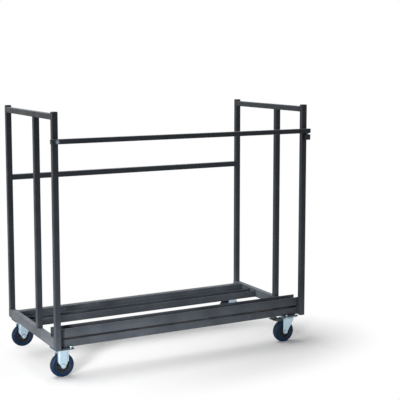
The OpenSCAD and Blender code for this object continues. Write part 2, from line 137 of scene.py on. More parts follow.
def super_ring(half_u, half_v, power, count):
    """Superellipse outline: u = a sgn(cos t)|cos t|^(2/n), v = b sgn(sin t)|sin t|^(2/n)."""
    t = np.linspace(0, 2 * np.pi, count, endpoint=False)
    c, s = np.cos(t), np.sin(t)
    return np.stack([half_u * np.sign(c) * np.abs(c) ** (2 / power),
                     half_v * np.sign(s) * np.abs(s) ** (2 / power)], -1)


# Materials

# Sockets of a Mix node that blends colours
MIX_FACTOR, MIX_A, MIX_B, MIX_RESULT = 0, 6, 7, 2
# Middle part of a noise's range, which most blends run over
EVEN = (0.3, 0.7)
# Painted corner shade, with grime: samples, the openness at which it starts and is full, and its reach
CREASE_SAMPLES, CREASE_OPEN, CREASE_DEEP = 8, 0.88, 0.4
COAT_CREASE, ZINC_CREASE = 14 * MM, 7 * MM
# Height of a rubbed upper edge, and how strongly the painted corner shade with grime, scuffs and rubbing show
LIP_WEAR = 2 * MM
COAT_SHADE_GRIME_AMOUNT, ZINC_SHADE_GRIME_AMOUNT, SCUFF_AMOUNT, CHAFE_AMOUNT = 0.75, 0.8, 0.3, 0.16
# Heights between which the pale film near the floor comes in, and how thick the pale lies in it and on tops;
# near the floor it is dust and painted light that makes low parts lighter, on tops dust and a painted
# highlight
FILM_TOP, FILM_FULL = 340 * MM, 160 * MM
FILM_THIN, FILM_THICK, TOP_THIN, TOP_THICK = 0.07, 0.155, 0.05, 0.3
# Distances from the axle, in wheel radii, between which the tread starts
TREAD_EDGE = (0.93, 0.985)
# Fineness along X, Y and Z of rub marks and of drawn lines, and how strong rub marks are
RUB_UPRIGHT, RUB_LENGTHWISE, RUB_CROSSWISE = (160.0, 160.0, 9.0), (9.0, 160.0, 160.0), (160.0, 9.0, 160.0)
RUB_FEET, RUB_LIGHT, RUB_HEAVY = (14.0, 240.0, 240.0), 0.3, 0.6
GRAIN_UPRIGHT, GRAIN_ROUND = (900.0, 900.0, 60.0), (120.0, 900.0, 120.0)
COAT_DEEP, COAT_PALE = (0.0165, 0.0205, 0.0265), (0.0225, 0.0275, 0.0355)
# Dark of the painted shade, with grime, in the coat's corners and gaps; and bare steel
COAT_SHADE_GRIME, BARE_STEEL = (0.009, 0.01, 0.012), (0.26, 0.27, 0.28)
COAT_FLECK, COAT_RUBBED = (0.075, 0.085, 0.1), (0.16, 0.168, 0.18)
# Pale used for dust, for painted light near the floor and for a painted highlight on top faces
DUST_AND_LIGHT = (0.225, 0.252, 0.285)
ZINC, ZINC_DEEP, ZINC_DULL = (0.44, 0.57, 0.665), (0.34, 0.45, 0.53), (0.16, 0.185, 0.2)
# Zinc's bloom and stain colours, and the dark of its painted corner shade with grime
ZINC_BLOOM, ZINC_STAIN, ZINC_SHADE_GRIME = (0.56, 0.67, 0.74), (0.31, 0.33, 0.33), (0.09, 0.1, 0.11)
PLASTIC_SCUFF, PLASTIC_SCRATCH = (0.12, 0.12, 0.125), (90.0, 420.0, 160.0)
RUBBER_DEEP, RUBBER_PALE = (0.001, 0.0105, 0.031), (0.002, 0.0145, 0.042)
RUBBER_GRIME = (0.02, 0.029, 0.039)


class Shade:
    """A material's node tree, with short calls for the nodes that the finishes share."""

    def __init__(self, name):
        self.material = bpy.data.materials.new(name)
        self.material.use_nodes = True
        self.tree = self.material.node_tree
        self.shader = self.tree.nodes["Principled BSDF"]
        self.coord = self.tree.nodes.new("ShaderNodeTexCoord")
        self.place = self.coord.outputs["Object"]

    def link(self, source, node, socket):
        self.tree.links.new(source, node.inputs[socket])

    def feed(self, value, node, socket):
        """Puts a number, a colour or another node's output on a socket."""
        if isinstance(value, tuple):
            node.inputs[socket].default_value = value + (1.0,)
        elif isinstance(value, (int, float)):
            node.inputs[socket].default_value = value
        else:
            self.link(value, node, socket)

    def stretched(self, scale, shift=(0.0, 0.0, 0.0)):
        """Object coordinates scaled by a vector and moved, for lines that run one way."""
        node = self.tree.nodes.new("ShaderNodeMapping")
        node.inputs["Scale"].default_value = scale
        node.inputs["Location"].default_value = shift
        self.link(self.place, node, "Vector")
        return node.outputs["Vector"]

    def noise(self, scale, detail=3.0, roughness=0.55, vector=None):
        node = self.tree.nodes.new("ShaderNodeTexNoise")
        node.inputs["Scale"].default_value = scale
        node.inputs["Detail"].default_value = detail
        node.inputs["Roughness"].default_value = roughness
        self.link(vector or self.place, node, "Vector")
        return node.outputs["Fac"]

    def cells(self, scale):
        """A value for each crystal-like cell."""
        node = self.tree.nodes.new("ShaderNodeTexVoronoi")
        node.inputs["Scale"].default_value = scale
        self.link(self.place, node, "Vector")
        return node.outputs["Color"]

    def span(self, source, low, high, to_low=0.0, to_high=1.0, smooth=True):
        """Value carried from low..high to to_low..to_high."""
        node = self.tree.nodes.new("ShaderNodeMapRange")
        node.interpolation_type = "SMOOTHSTEP" if smooth else "LINEAR"
        ends = {"From Min": low, "From Max": high, "To Min": to_low, "To Max": to_high}
        for socket, value in ends.items():
            node.inputs[socket].default_value = value
        self.link(source, node, "Value")
        return node.outputs["Result"]

    def maths(self, operation, a, b):
        node = self.tree.nodes.new("ShaderNodeMath")
        node.operation = operation
        for socket, value in enumerate((a, b)):
            self.feed(value, node, socket)
        return node.outputs["Value"]

    def tint(self, factor, a, b):
        """Colour a turned to b by factor; either may be a colour or another node's output."""
        node = self.tree.nodes.new("ShaderNodeMix")
        node.data_type = "RGBA"
        for socket, value in ((MIX_FACTOR, factor), (MIX_A, a), (MIX_B, b)):
            self.feed(value, node, socket)
        return node.outputs[MIX_RESULT]

    def axis(self, name, output="Object"):
        """One coordinate of the place, or of the surface normal with output 'Normal'."""
        node = self.tree.nodes.new("ShaderNodeSeparateXYZ")
        self.link(self.coord.outputs[output], node, "Vector")
        return node.outputs[name]

    def creases(self, distance):
        """Mask for painted shade: 1 deep in a corner or under an edge, 0 on open faces."""
        node = self.tree.nodes.new("ShaderNodeAmbientOcclusion")
        node.samples = CREASE_SAMPLES
        node.inputs["Distance"].default_value = distance
        return self.span(node.outputs["AO"], CREASE_OPEN, CREASE_DEEP)

    def attribute(self, name):
        node = self.tree.nodes.new("ShaderNodeAttribute")
        node.attribute_name = name
        return node.outputs["Fac"]

    def bump(self, height, strength, distance, under=None):
        node = self.tree.nodes.new("ShaderNodeBump")
        node.inputs["Strength"].default_value = strength
        node.inputs["Distance"].default_value = distance
        self.link(height, node, "Height")
        if under is not None:
            self.link(under, node, "Normal")
        return node.outputs["Normal"]

    def done(self, colour, roughness, normal, **plain):
        """Puts the parts, and plain numbers, on the shader's sockets."""
        parts = {"Base_Color": colour, "Roughness": roughness, "Normal": normal, **plain}
        for socket, value in parts.items():
            self.feed(value, self.shader, socket.replace("_", " "))
        return self.material


def powder_coat(name, rub_scale, rub_amount, lip=None, film_dust_light_share=1.0, top_dust_light_share=1.0):
    """Anthracite powder coat: orange peel, mottle, rub marks that run with rub_scale, a pale dusting near the
    floor that is partly painted light, a pale dusting on top faces that is partly a painted highlight, and
    painted shade with grime in corners.

    lip is the height of an upper edge that the load rubs bare. The last two arguments are the shares of the
    usual pale near the floor and on top faces.
    """
    s = Shade(name)
    mottle = s.span(s.noise(9.0, 4.0), *EVEN)
    colour = s.tint(mottle, COAT_DEEP, COAT_PALE)
    speck = s.span(s.noise(1500.0, 1.0), 0.66, 0.74, 0.0, 0.35)
    colour = s.tint(speck, colour, COAT_FLECK)
    lines = s.span(s.noise(1.0, 2.0, 0.6, s.stretched(rub_scale)), 0.63, 0.72)
    patches = s.span(s.noise(5.0, 3.0), 0.52, 0.68)
    rubs = s.maths("MULTIPLY", s.maths("MULTIPLY", lines, patches), rub_amount)
    colour = s.tint(rubs, colour, COAT_RUBBED)
    # Pale film near the floor: dust, and painted light that makes low parts lighter
    low = s.span(s.axis("Z"), FILM_TOP, FILM_FULL)
    low_film_and_light = s.span(s.noise(6.0, 3.0), *EVEN, film_dust_light_share * FILM_THIN, film_dust_light_share * FILM_THICK)
    low_film_and_light = s.maths("MULTIPLY", low, low_film_and_light)
    colour = s.tint(low_film_and_light, colour, DUST_AND_LIGHT)
    scuffs = s.maths("MULTIPLY", s.span(s.noise(26.0, 5.0, 0.7), 0.58, 0.72), low)
    colour = s.tint(s.maths("MULTIPLY", scuffs, SCUFF_AMOUNT), colour, COAT_RUBBED)
    corner = s.creases(COAT_CREASE)
    # Pale on faces that look up, kept out of corners so gaps stay dark: dust, and a painted highlight on top
    # faces
    facing_up = s.span(s.axis("Z", "Normal"), 0.6, 0.95)
    up = s.maths("MULTIPLY", facing_up, s.maths("SUBTRACT", 1.0, corner))
    settled_and_lit = s.span(s.noise(38.0, 4.0), 0.35, 0.75, top_dust_light_share * TOP_THIN, top_dust_light_share * TOP_THICK)
    dust_and_light = s.maths("MULTIPLY", up, settled_and_lit)
    colour = s.tint(dust_and_light, colour, DUST_AND_LIGHT)
    # Corners and the gaps between parts darkened: painted shade, with grime
    colour = s.tint(s.maths("MULTIPLY", corner, COAT_SHADE_GRIME_AMOUNT), colour, COAT_SHADE_GRIME)
    if lip is not None:
        edge = s.span(s.axis("Z"), lip - LIP_WEAR, lip)
        chafed = s.maths("MULTIPLY", edge, s.span(s.noise(8.0, 5.0, 0.7), 0.35, 0.65))
        colour = s.tint(s.maths("MULTIPLY", chafed, CHAFE_AMOUNT), colour, BARE_STEEL)
    rough = s.span(s.noise(14.0, 3.0), *EVEN, 0.36, 0.5)
    rough = s.maths("ADD", rough, s.maths("MULTIPLY", s.maths("ADD", rubs, dust_and_light), 0.3))
    peel = s.bump(s.noise(620.0, 2.0), 0.22, 0.4 * MM)
    normal = s.bump(rubs, 0.25, 0.2 * MM, peel)
    return s.done(colour, rough, normal, Specular_IOR_Level=0.18)


def zinc_plate(name, base, grain):
    """Bright zinc on steel: fine crystal cells, drawn lines along grain, a pale bloom, handling marks, and
    painted shade with grime in corners.
    """
    s = Shade(name)
    cells = s.span(s.cells(420.0), 0.0, 1.0, 0.0, 0.35, False)
    bloom = s.span(s.noise(30.0, 5.0, 0.65), 0.5, 0.75)
    colour = s.tint(cells, base, ZINC_DEEP)
    colour = s.tint(s.maths("MULTIPLY", bloom, 0.35), colour, ZINC_BLOOM)
    stains = s.span(s.noise(70.0, 4.0, 0.7), 0.66, 0.78, 0.0, 0.4)
    colour = s.tint(stains, colour, ZINC_STAIN)
    # Corners round bolt heads and nuts darkened: painted shade, with grime
    corner = s.maths("MULTIPLY", s.creases(ZINC_CREASE), ZINC_SHADE_GRIME_AMOUNT)
    colour = s.tint(corner, colour, ZINC_SHADE_GRIME)
    drawn = s.noise(1.0, 2.0, 0.5, s.stretched(grain))
    rough = s.maths("ADD", s.span(bloom, 0.0, 1.0, 0.27, 0.46), s.span(drawn, *EVEN, -0.05, 0.08))
    normal = s.bump(drawn, 0.14, 0.2 * MM, s.bump(s.noise(240.0, 3.0), 0.1, 0.3 * MM))
    return s.done(colour, rough, normal, Metallic=0.75)


def moulded_plastic(name, dark, pale, sparkle=900.0):
    """Moulded plastic: fine spark-eroded grain, slow colour drift and pale scuffs."""
    s = Shade(name)
    colour = s.tint(s.span(s.noise(22.0, 4.0), *EVEN), dark, pale)
    scratches = s.noise(1.0, 3.0, 0.6, s.stretched(PLASTIC_SCRATCH))
    scuff = s.span(scratches, 0.64, 0.76, 0.0, 0.25)
    colour = s.tint(scuff, colour, PLASTIC_SCUFF)
    rough = s.span(s.noise(60.0, 3.0), *EVEN, 0.42, 0.56)
    rough = s.maths("ADD", rough, s.maths("MULTIPLY", scuff, 0.5))
    normal = s.bump(s.noise(sparkle, 2.0), 0.25, 0.3 * MM)
    return s.done(colour, rough, normal, Specular_IOR_Level=0.3)


def tyre_rubber(name):
    """Blue rubber: 'place' is the distance from the axle in wheel radii, so the tread greys where it runs."""
    s = Shade(name)
    colour = s.tint(s.span(s.noise(40.0, 4.0), *EVEN), RUBBER_DEEP, RUBBER_PALE)
    tread = s.span(s.attribute("place"), *TREAD_EDGE)
    grime = s.maths("MULTIPLY", tread, s.span(s.noise(85.0, 5.0, 0.7), 0.35, 0.7, 0.12, 0.55))
    colour = s.tint(grime, colour, RUBBER_GRIME)
    rough = s.span(s.noise(30.0, 3.0), *EVEN, 0.46, 0.58)
    rough = s.maths("ADD", rough, s.maths("MULTIPLY", grime, 0.4))
    normal = s.bump(grime, 0.3, 0.4 * MM, s.bump(s.noise(700.0, 2.0), 0.2, 0.3 * MM))
    return s.done(colour, rough, normal, Specular_IOR_Level=0.15)


coat_up = powder_coat("coat_upright", RUB_UPRIGHT, RUB_LIGHT)
coat_long = powder_coat("coat_lengthwise", RUB_LENGTHWISE, RUB_LIGHT)
# Top rails and end tubes get extra pale on their tops as a painted highlight, and the end tubes a heavy film
# near the floor that is partly painted light on their sides
coat_deep = powder_coat("coat_crosswise", RUB_CROSSWISE, RUB_LIGHT, top_dust_light_share=2.2)
coat_end = powder_coat("coat_end_tube", RUB_CROSSWISE, RUB_LIGHT, film_dust_light_share=2.8, top_dust_light_share=2.2)
coat_front = powder_coat("coat_front_rail", RUB_FEET, RUB_HEAVY, film_dust_light_share=1.2, top_dust_light_share=0.3)
# Name, solid with the rubbed upper edge, and share of the pale film near the floor, which is dust and painted
# light
rubbed_edges = (("coat_raised_channel", "front_channel", 1.6), ("coat_low_channel", "rear_channel", 1.0))
coat_raised, coat_low = [powder_coat(name, RUB_FEET, RUB_HEAVY, box_of(node)[1][2], dust_and_light)
                         for name, node, dust_and_light in rubbed_edges]
zinc_up = zinc_plate("zinc_pressed", ZINC, GRAIN_UPRIGHT)
zinc_round = zinc_plate("zinc_turned", ZINC, GRAIN_ROUND)
zinc_dull = zinc_plate("zinc_dulled", ZINC_DULL, GRAIN_ROUND)
black_core = moulded_plastic("plastic_core", (0.009, 0.0095, 0.012), (0.015, 0.016, 0.02))
black_cap = moulded_plastic("plastic_insert", (0.011, 0.011, 0.012), (0.02, 0.02, 0.022))
pedal_green = moulded_plastic("plastic_pedal", (0.03, 0.045, 0.042), (0.05, 0.07, 0.065), 700.0)
blue_rubber = tyre_rubber("rubber_blue")


def dress(material, *names):
    """Gives the named solids a finish."""
    for name in names:
        for slot in nodes[name].material_slots:
            slot.material = material


dress(coat_up, "bar_socket", *[f"{side}_{row}_post" for side in SIDES for row in ("front", "middle", "rear")])
dress(coat_long, "rear_base_rail", "back_rail", "locking_bar", "castor_mount_plates")
dress(coat_front, "front_base_rail")
dress(coat_deep, "left_top_rail", "right_top_rail")
dress(coat_end, "left_end_tube", "right_end_tube")
dress(coat_raised, "front_channel")
dress(coat_low, "rear_channel")
dress(zinc_dull, "bar_drop_pin", "pivot_washers")
for row in ROWS:
    left, right = f"left_{row}_", f"right_{row}_"
    dress(zinc_round, left + "axle_sleeve", right + "axle_sleeve", right + "kingpin", right + "pedal_pin")

# Wheels

# Counts of points round and along the wheels, and the power of superellipse sections
TYRE_SEGMENTS, CORE_SEGMENTS, TYRE_STEPS, RIB_STEPS, RIB_RING = 144, 96, 61, 15, 20
SECTION_POWER = 5.0
TYRE_POWER, TYRE_SEAT = 3.4, 4 * MM
SIDE_RING_AT, SIDE_RING_W, SIDE_RING_H = 0.83, 1.3 * MM, 0.7 * MM
CROWN_LINE, CROWN_LINE_W = 0.25 * MM, 0.5 * MM
SEAT_STEP, SEAT_IN, BORE_IN = 1.2 * MM, 0.9 * MM, 1.4 * MM
RIM_T, RIM_LIP, RIM_IN, HALF_WEB = 5.5 * MM, 0.6 * MM, 2.2 * MM, 4.5 * MM
HUB_WALL, HUB_CHAMFER, HUB_DROP = 8 * MM, 1.2 * MM, 2 * MM
WEB_FILLET, WEB_RISE, CORE_EASE = 1.5 * MM, 1 * MM, 1.6 * MM
CORE_RIBS, RIB_HALF, RIB_DIP, RIB_LOW, RIB_IN = 6, 1.9 * MM, 2.2 * MM, 2 * MM, 3 * MM
BORE_GAP = 0.1 * MM


def tyre_outline(bore_r, outer_r, half_w):
    """Closed section of a tyre as (radius, y).

    The running part is a superellipse about a line a little outside the bore; a raised ring stands on
    each side wall and a thin parting line on the crown, both Gaussian bumps.
    """
    seat_r = bore_r + TYRE_SEAT
    t = np.linspace(0, np.pi, TYRE_STEPS)
    y = half_w * np.sign(np.cos(t)) * np.abs(np.cos(t)) ** (2 / TYRE_POWER)
    r = seat_r + (outer_r - seat_r) * np.sin(t) ** (2 / TYRE_POWER)
    side = np.sign(y) * np.exp(-((r - SIDE_RING_AT * outer_r) / SIDE_RING_W) ** 2) * SIDE_RING_H
    r = r - CROWN_LINE + CROWN_LINE * np.exp(-(y / CROWN_LINE_W) ** 2)
    seat = np.array([[seat_r - SEAT_STEP, -half_w + SEAT_IN], [bore_r, -half_w + BORE_IN],
                     [bore_r, half_w - BORE_IN], [seat_r - SEAT_STEP, half_w - SEAT_IN]])
    return np.concatenate([np.stack([r, y + side], -1), seat])


def core_outline(core_r, half_rim, half_hub, hub_r, bore_r, half_web):
    """Closed section of a wheel core as (radius, y): hub, thin web and lipped rim, with eased corners."""
    rim_in = core_r - RIM_T
    side = np.array([[bore_r, half_hub], [hub_r - HUB_CHAMFER, half_hub], [hub_r, half_hub - HUB_DROP],
                     [hub_r + WEB_FILLET, half_web + WEB_RISE], [rim_in - WEB_FILLET, half_web],
                     [rim_in, half_rim], [core_r - WEB_RISE, half_rim + RIM_LIP], [core_r, half_rim]])
    other = side[::-1] * np.array([1, -1])
    return eased(np.concatenate([side, other]), CORE_EASE)


def core_ribs(centre, hub_r, rim_r, half_h, count):
    """Ribs of a core: a superellipse section carried outwards, its height dipping as half a sine wave."""
    u = np.linspace(0, 1, RIB_STEPS)
    ring = super_ring(RIB_HALF, 1.0, SECTION_POWER, RIB_RING)
    high = half_h - RIB_DIP * np.sin(np.pi * u)
    along = (hub_r + (rim_r - hub_r) * u)[:, None] * np.ones(len(ring))
    across = np.ones(len(u))[:, None] * ring[:, 0]
    up = high[:, None] * ring[:, 1]
    ribs = []
    for a in 2 * np.pi * np.arange(count) / count:
        points = np.stack([along * np.cos(a) - across * np.sin(a), up,
                           along * np.sin(a) + across * np.cos(a)], -1) + centre
        ribs.append((with_ends(points), False, True))
    return ribs


def with_ends(points):
    """Tube grid closed at both ends by a row drawn to the middle of its end ring."""
    first = np.broadcast_to(points[:1].mean(1, keepdims=True), points[:1].shape)
    last = np.broadcast_to(points[-1:].mean(1, keepdims=True), points[-1:].shape)
    return np.concatenate([first, points, last])


for side in SIDES:
    for row in ROWS:
        name = f"{side}_{row}_"
        body = name + "wheel"
        middle, (_, half_w, tyre_r) = half_box(name + "tyre")
        _, (_, half_hub, core_r) = half_box(name + "wheel_core")
        bore_r = half_box(name + "axle_sleeve")[1][2] + BORE_GAP
        outline = tyre_outline(core_r, tyre_r, half_w)
        place = np.broadcast_to(outline[:, :1] / tyre_r, (len(outline), TYRE_SEGMENTS))
        add_piece(name + "tyre_moulding", [(turned(outline, middle, TYRE_SEGMENTS), True, True)], blue_rubber,
                  body, [name + "tyre"], sharp_deg=50.0, along=[place])
        half_rim = half_w - RIM_IN
        hub_r = bore_r + HUB_WALL
        section = core_outline(core_r, half_rim, half_hub, hub_r, bore_r, HALF_WEB)
        ribs = core_ribs(middle, hub_r - HUB_DROP, core_r - RIB_IN, half_rim - RIB_LOW, CORE_RIBS)
        add_piece(name + "core_moulding", [(turned(section, middle, CORE_SEGMENTS), True, True)] + ribs,
                  black_core, body, [name + "wheel_core"])

# Castor forks, ball rings and brake levers

FORK_SHEET, FORK_HALF_GAP, FOOT_R = 3 * MM, 24.5 * MM, 14 * MM
LEG_HALF, LEG_WEB_HALF, LEG_STEP, LEG_TAPER, FLARE = 30 * MM, 20 * MM, 3 * MM, 24 * MM, 4 * MM
PLATE_CORNER, PLATE_CORNER_STEPS, PLATE_T = 8 * MM, 10, 3 * MM
# Share of a plate's outline and of its thickness, from the middle of one face to the middle of the other
PLATE_EDGE = np.array([[0.0, 0.0], [0.985, 0.0], [0.996, 0.06], [1.0, 0.22],
                       [1.0, 0.78], [0.996, 0.94], [0.985, 1.0], [0.0, 1.0]])
CROWN_T, LEG_SHOULDER, CROWN_BEND = 3.5 * MM, 14 * MM, 6 * MM
LIP_R, LIP_POWER, RACE_DIP, RACE_DIP_SHARE, RACE_BORE_SHARE = 2.2 * MM, 8, 2.4 * MM, 0.2, 0.45
LEVER_GAP, LEVER_HALF, PEDAL_HALF, TIP_T = 1 * MM, 19 * MM, 28 * MM, 4 * MM
ARM_TOP = ([0.0, 0.1, 0.2, 0.26, 0.32], [1.0, 0.95, 0.9, 1.2, 1.55])
ARM_UNDER = ([0.0, 0.1, 0.46], [-1.0, -0.9, -0.4])
FOOT_GAP, FOOT_RISE, FOOT_CROWN, FOOT_UNDER, FOOT_TIP = 3 * MM, 0.04, 0.95, -1.95, 0.5
RIB_FIRST, RIB_PITCH, RIB_RISE, RIB_MARKS = 0.137, 0.19, 1.3 * MM, [0.07, 0.1, 0.78, 0.81]
SHOE_MARKS, STEP_FROM, STEP_L, TIP_FROM, TIP_DRAW = [0.12, 0.145, 0.43, 0.455], -0.02, 0.12, 0.95, 0.14
BRAKE_TURN, SHOE_GAP = math.radians(10), 0.4 * MM
# Counts of points across a sheet and along forks, ball rings and levers
SHEET_FACE, SHEET_ARC, FOOT_STEPS, FLARE_STEPS, LEG_STEPS, TAPER_STEPS = 25, 5, 16, 8, 12, 10
BEND_STEPS, CROWN_STEPS, RACE_STEPS, HUB_STEPS, LEVER_STEPS, LEVER_RING = 10, 7, 41, 12, 190, 48


def sheet_section():
    """Section of a thin sheet: two flat faces joined by half-round edges.

    Each point has its share of the half width, its place on the edge's arc along the width and across it.
    """
    face = np.linspace(-1, 1, SHEET_FACE)
    arc = np.linspace(np.pi / 2, -np.pi / 2, SHEET_ARC + 2)[1:-1]
    flat, full, edge_full = np.zeros(SHEET_FACE), np.ones(SHEET_FACE), np.ones(SHEET_ARC)
    share = np.concatenate([face, edge_full, face[::-1], -edge_full])
    edge = np.concatenate([flat, np.cos(arc), flat, -np.cos(arc)])
    across = np.concatenate([full, np.sin(arc), -full, -np.sin(arc)])
    return share, edge, across


def sheet_rows(half_w, half_t):
    """Places along the width and across the sheet for each row of half widths and half thicknesses."""
    share, edge, across = sheet_section()
    round_end = np.minimum(half_t, half_w)[:, None]
    along = share * (half_w[:, None] - round_end) + edge * round_end
    return along, across * half_t[:, None]


def foot_width(z, axle_z, foot_r):
    """Half width of a round foot below its axle: the square root of r^2 - (axle - z)^2."""
    return np.sqrt(np.clip(foot_r ** 2 - np.clip(axle_z - z, 0, foot_r) ** 2, 0, None))


def fixed_leg(centre, side, top, axle_z):
    """Leg of a fixed fork: a sheet section carried down from the plate.

    Its half width is even, tapers in a straight line and ends as the foot's circle. Across the leg the sheet
    steps out by an S curve on each side of its raised middle, and at the top it flares as a quarter round.
    """
    taper_z = axle_z + LEG_TAPER
    drop = np.sin(np.linspace(0, np.pi / 2, FOOT_STEPS))
    z = np.concatenate([np.linspace(top, top - FLARE, FLARE_STEPS),
                        np.linspace(top - FLARE, taper_z, LEG_STEPS)[1:],
                        np.linspace(taper_z, axle_z, TAPER_STEPS)[1:], axle_z - FOOT_R * drop[1:]])
    half_w = np.where(z < axle_z, foot_width(z, axle_z, FOOT_R),
                      np.interp(z, [axle_z, taper_z], [FOOT_R, LEG_HALF]))
    x, n = sheet_rows(half_w, np.full(z.shape, FORK_SHEET / 2))
    s = np.clip((LEG_WEB_HALF + LEG_STEP - np.abs(x)) / LEG_STEP, 0, 1)
    away = np.clip(1 - (top - z) / FLARE, 0, 1)
    flare = FLARE * (1 - np.sqrt(1 - away ** 2))
    y = FORK_HALF_GAP - LEG_STEP + LEG_STEP * s * s * (3 - 2 * s) + FORK_SHEET / 2 + n + flare[:, None]
    points = np.stack([x, side * y, np.broadcast_to(z[:, None], x.shape)], -1)
    return with_ends(points + centre), False, True


def pressed_plate(half_u, half_v, thick):
    """Plate standing on z = 0: a round-cornered outline, drawn in at both faces by an eased edge."""
    corners = np.array([[half_u, half_v], [-half_u, half_v], [-half_u, -half_v], [half_u, -half_v]])
    ring = eased(corners, PLATE_CORNER, PLATE_CORNER_STEPS)
    flat = PLATE_EDGE[:, :1, None] * ring
    rise = np.broadcast_to(PLATE_EDGE[:, 1:, None] * thick, flat.shape[:2] + (1,))
    return np.concatenate([flat, rise], -1)


def swivel_sheet(centre, trail, reach, axle_z, crown_low, crown_high):
    """Swivel fork: one sheet section carried from foot to foot over the crown, round two bends.

    The sheet's rear edge stands upright and its front edge leans from the foot out to the crown; the crown is
    thicker than the legs.
    """
    leg_y, crown_z = FORK_HALF_GAP + FORK_SHEET / 2, (crown_low + crown_high) / 2
    bend = np.linspace(0, np.pi / 2, BEND_STEPS)
    drop = np.sin(np.linspace(np.pi / 2, 0, FOOT_STEPS))
    upright = np.linspace(axle_z, crown_z - CROWN_BEND, FOOT_STEPS)[1:-1]
    leg_z = np.concatenate([axle_z - FOOT_R * drop, upright])
    y = np.concatenate([np.full(leg_z.shape, leg_y), leg_y - CROWN_BEND + CROWN_BEND * np.cos(bend),
                        np.linspace(leg_y - CROWN_BEND, 0, CROWN_STEPS + 1)[1:]])
    z = np.concatenate([leg_z, crown_z - CROWN_BEND + CROWN_BEND * np.sin(bend),
                        np.full(CROWN_STEPS, crown_z)])
    lean = np.concatenate([np.zeros(leg_z.shape), np.sin(bend), np.ones(CROWN_STEPS)])
    out = np.sqrt(1 - lean ** 2)
    y, out = np.concatenate([y, -y[-2::-1]]), np.concatenate([out, -out[-2::-1]])
    z, lean = np.concatenate([z, z[-2::-1]]), np.concatenate([lean, lean[-2::-1]])
    foot = foot_width(z, axle_z, FOOT_R)
    rear = np.where(z < axle_z, -trail - foot, -trail - FOOT_R)
    front = np.where(z < axle_z, foot - trail,
                     np.interp(z, [axle_z, crown_high - LEG_SHOULDER], [FOOT_R - trail, reach]))
    half_t = FORK_SHEET / 2 + lean * (crown_high - crown_low - FORK_SHEET) / 2
    x, n = sheet_rows((front - rear) / 2, half_t)
    points = np.stack([x + ((front + rear) / 2)[:, None], y[:, None] + n * out[:, None],
                       z[:, None] + n * lean[:, None]], -1)
    return with_ends(points + centre), False, True


def race_outline(bore_r, outer_r, low, high):
    """Section of a ball ring as (radius, z): two rolled lips and a groove, a Gaussian dip of the radius."""
    z = np.linspace(low, high, RACE_STEPS)
    middle, half = (low + high) / 2, (high - low) / 2
    lip = 1 - ((z - middle) / half) ** LIP_POWER
    groove = RACE_DIP * np.exp(-((z - middle) / (RACE_DIP_SHARE * half)) ** 2)
    r = outer_r - LIP_R * (1 - np.sqrt(np.clip(lip, 0, 1))) - groove
    inner = np.array([[bore_r, high], [bore_r, low]])
    return np.concatenate([np.stack([r, z], -1), inner])


def lever(pin, reach, hub, foot_start, foot_top, axle_drop, tyre_r):
    """Brake lever along -X from its pin: a superellipse section whose width, top and underside follow tables.

    The arm's tables give shares of the reach and of the hub's radius. From foot_start on, the foot is a
    wedge that falls to half of foot_top at its tip. The underside of the shoe follows the tyre, the tread
    ribs on the foot are raised cosine waves, and the tip is drawn in as a quarter ellipse.
    """
    hub_x = np.cos(np.linspace(0, np.pi / 2, HUB_STEPS)) * hub
    x = np.concatenate([hub_x, -np.linspace(0, 1, LEVER_STEPS)[1:] * reach])
    share = -x / reach
    first = foot_start / reach
    foot = (share - first) / (1 - first)
    round_hub = np.sqrt(np.clip(1 - (np.clip(x, 0, hub) / hub) ** 2, 0, 1))
    tip_top = FOOT_TIP * foot_top
    top_marks = ARM_TOP[0] + [first, first + FOOT_RISE, 1.0]
    arm_top = [hub * v for v in ARM_TOP[1]]
    top_values = arm_top + [arm_top[-1], FOOT_CROWN * foot_top, tip_top]
    top = np.interp(share, top_marks, top_values) * round_hub
    under_marks = ARM_UNDER[0] + [first + FOOT_RISE, 1.0]
    under_values = [hub * v for v in ARM_UNDER[1]] + [FOOT_UNDER * hub, tip_top - TIP_T]
    under = np.interp(share, under_marks, under_values) * round_hub
    across = x + axle_drop * math.sin(BRAKE_TURN)
    tyre_rise = np.sqrt(np.clip((tyre_r + SHOE_GAP) ** 2 - across ** 2, 0, None))
    shoe = tyre_rise - axle_drop * math.cos(BRAKE_TURN)
    on_shoe = np.interp(share, SHOE_MARKS, [0, 1, 1, 0])
    under = under * (1 - on_shoe) + np.minimum(shoe, under) * on_shoe
    waves = np.clip(np.cos(2 * np.pi * (foot - RIB_FIRST) / RIB_PITCH), 0, 1)
    top = top + RIB_RISE * waves * np.interp(foot, RIB_MARKS, [0, 1, 1, 0])
    step = np.clip((foot - STEP_FROM) / STEP_L, 0, 1)
    half_w = LEVER_HALF + (PEDAL_HALF - LEVER_HALF) * step * step * (3 - 2 * step)
    tip = np.sqrt(np.clip(1 - np.clip((share - TIP_FROM) / (1 - TIP_FROM), 0, 1) ** 2, 0, 1))
    middle, half_h = (top + under) / 2, (top - under) / 2 * tip
    half_w = half_w * (1 - TIP_DRAW + TIP_DRAW * tip)
    ring = super_ring(1.0, 1.0, SECTION_POWER, LEVER_RING)
    points = np.stack([np.broadcast_to(x[:, None], (len(x), len(ring))), half_w[:, None] * ring[:, 0],
                       middle[:, None] + half_h[:, None] * ring[:, 1]], -1)
    return with_ends(points + pin), False, True


def plan_of(low, high):
    """Middle of a box seen from above, at floor height, and its half sizes along X and Y."""
    return np.array([(low[0] + high[0]) / 2, (low[1] + high[1]) / 2, 0]), (high[:2] - low[:2]) / 2


